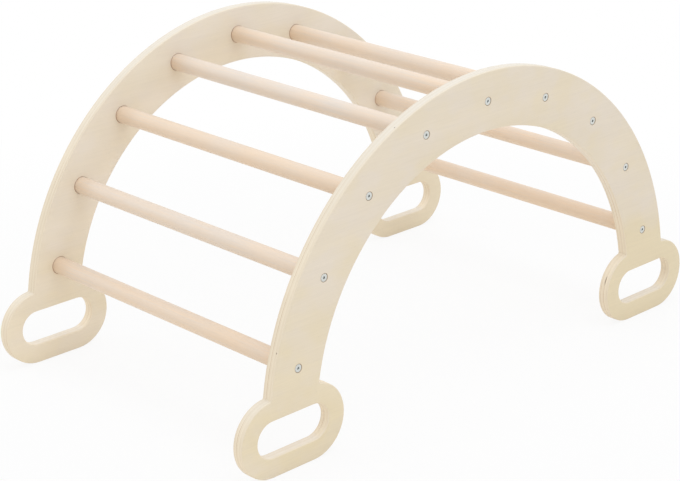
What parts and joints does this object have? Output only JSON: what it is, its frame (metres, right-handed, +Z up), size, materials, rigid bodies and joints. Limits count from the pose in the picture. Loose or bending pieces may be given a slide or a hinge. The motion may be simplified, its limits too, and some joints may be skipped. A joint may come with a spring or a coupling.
{
  "type": "wooden rocker arch",
  "caption": "Wooden climbing arch and rocker for children: plywood half-ring sides with hand-loop feet, joined by round beech rungs that are screwed in from outside.",
  "frame": {"origin": "on the floor, in the middle between the four hand-loop feet", "axes": "+Z up as it stands on its feet, X along the span of the arch, +Y from the front panel to the back panel along the rungs"},
  "size_m": [1.007, 0.586, 0.5099],
  "materials": {
    "panel_plywood": "pale birch plywood, clear matt, with its plies showing on the edges",
    "rung_beech": "smooth turned beech, clear matt",
    "screw_steel": "bright zinc-plated steel"
  },
  "bodies": {
    "root": {"front_panel": "panel_plywood", "back_panel": "panel_plywood", "rung_1": "rung_beech", "rung_2": "rung_beech", "rung_3": "rung_beech", "rung_4": "rung_beech", "rung_5": "rung_beech", "rung_6": "rung_beech", "rung_7": "rung_beech", "rung_8": "rung_beech", "rung_9": "rung_beech", "rung_1_screws": "screw_steel", "rung_2_screws": "screw_steel", "rung_3_screws": "screw_steel", "rung_4_screws": "screw_steel", "rung_5_screws": "screw_steel", "rung_6_screws": "screw_steel", "rung_7_screws": "screw_steel", "rung_8_screws": "screw_steel", "rung_9_screws": "screw_steel"}
  },
  "joints": []
}
